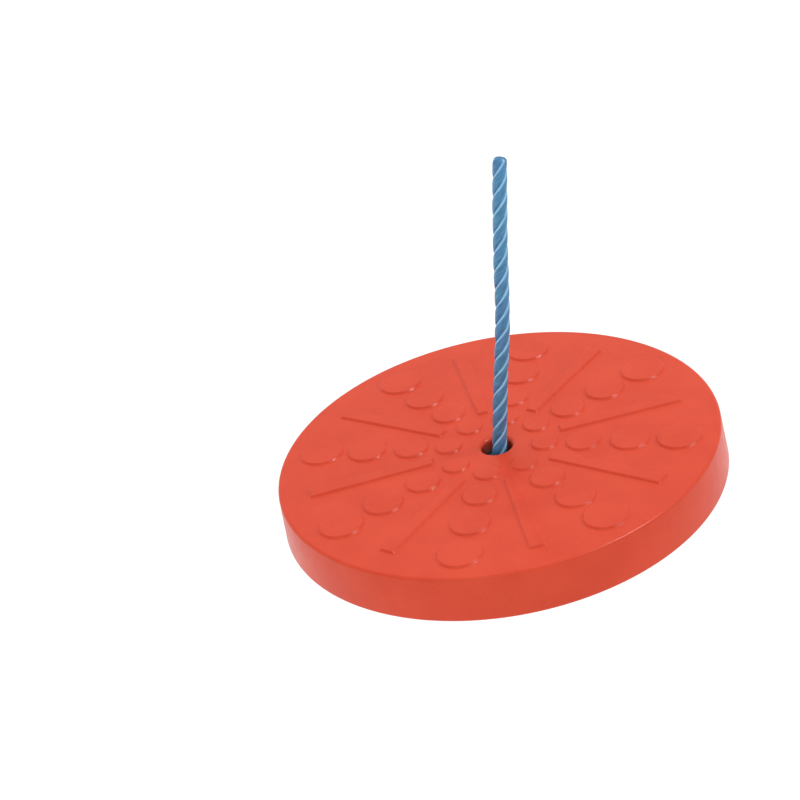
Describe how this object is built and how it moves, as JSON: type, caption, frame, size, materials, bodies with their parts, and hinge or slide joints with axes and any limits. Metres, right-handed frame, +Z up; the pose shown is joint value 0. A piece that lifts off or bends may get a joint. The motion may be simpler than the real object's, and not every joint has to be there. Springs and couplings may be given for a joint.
{
  "type": "disc swing seat",
  "caption": "Round moulded disc seat with a raised grip pattern, hung by its centre on a laid rope, with a washer and a stopper knot underneath.",
  "frame": {"origin": "upper end of the rope, on the rope's centre line, where whatever carries the swing takes hold of it", "axes": "+Z up along the hanging rope; the seat rests leaning down towards -X, so +Y lies level across it"},
  "size_m": [0.3018, 0.3028, 0.2875],
  "materials": {
    "seat_plastic": "satin moulded polyethylene",
    "washer_steel": "zinc plated",
    "rope_fibre": "laid polypropylene",
    "rope_sealed_end": "melted polypropylene"
  },
  "bodies": {
    "rope": {"rope": "rope_fibre", "rope_top_tip": "rope_sealed_end", "stopper_knot": "rope_fibre", "rope_tail": "rope_fibre", "rope_tail_tip": "rope_sealed_end"},
    "washer": {"washer": "washer_steel"},
    "seat": {"seat_disc": "seat_plastic"}
  },
  "joints": [
    {"name": "seat_lean", "type": "hinge", "parent": "rope", "child": "washer", "pos_m": [0, 0, -0.2174], "axis": [0, 1, 0], "range_deg": [0, 20]},
    {"name": "seat_spin", "type": "hinge", "parent": "washer", "child": "seat", "pos_m": [0, 0, -0.2174], "axis": [-0.1736, 0, 0.9848], "continuous": true}
  ]
}
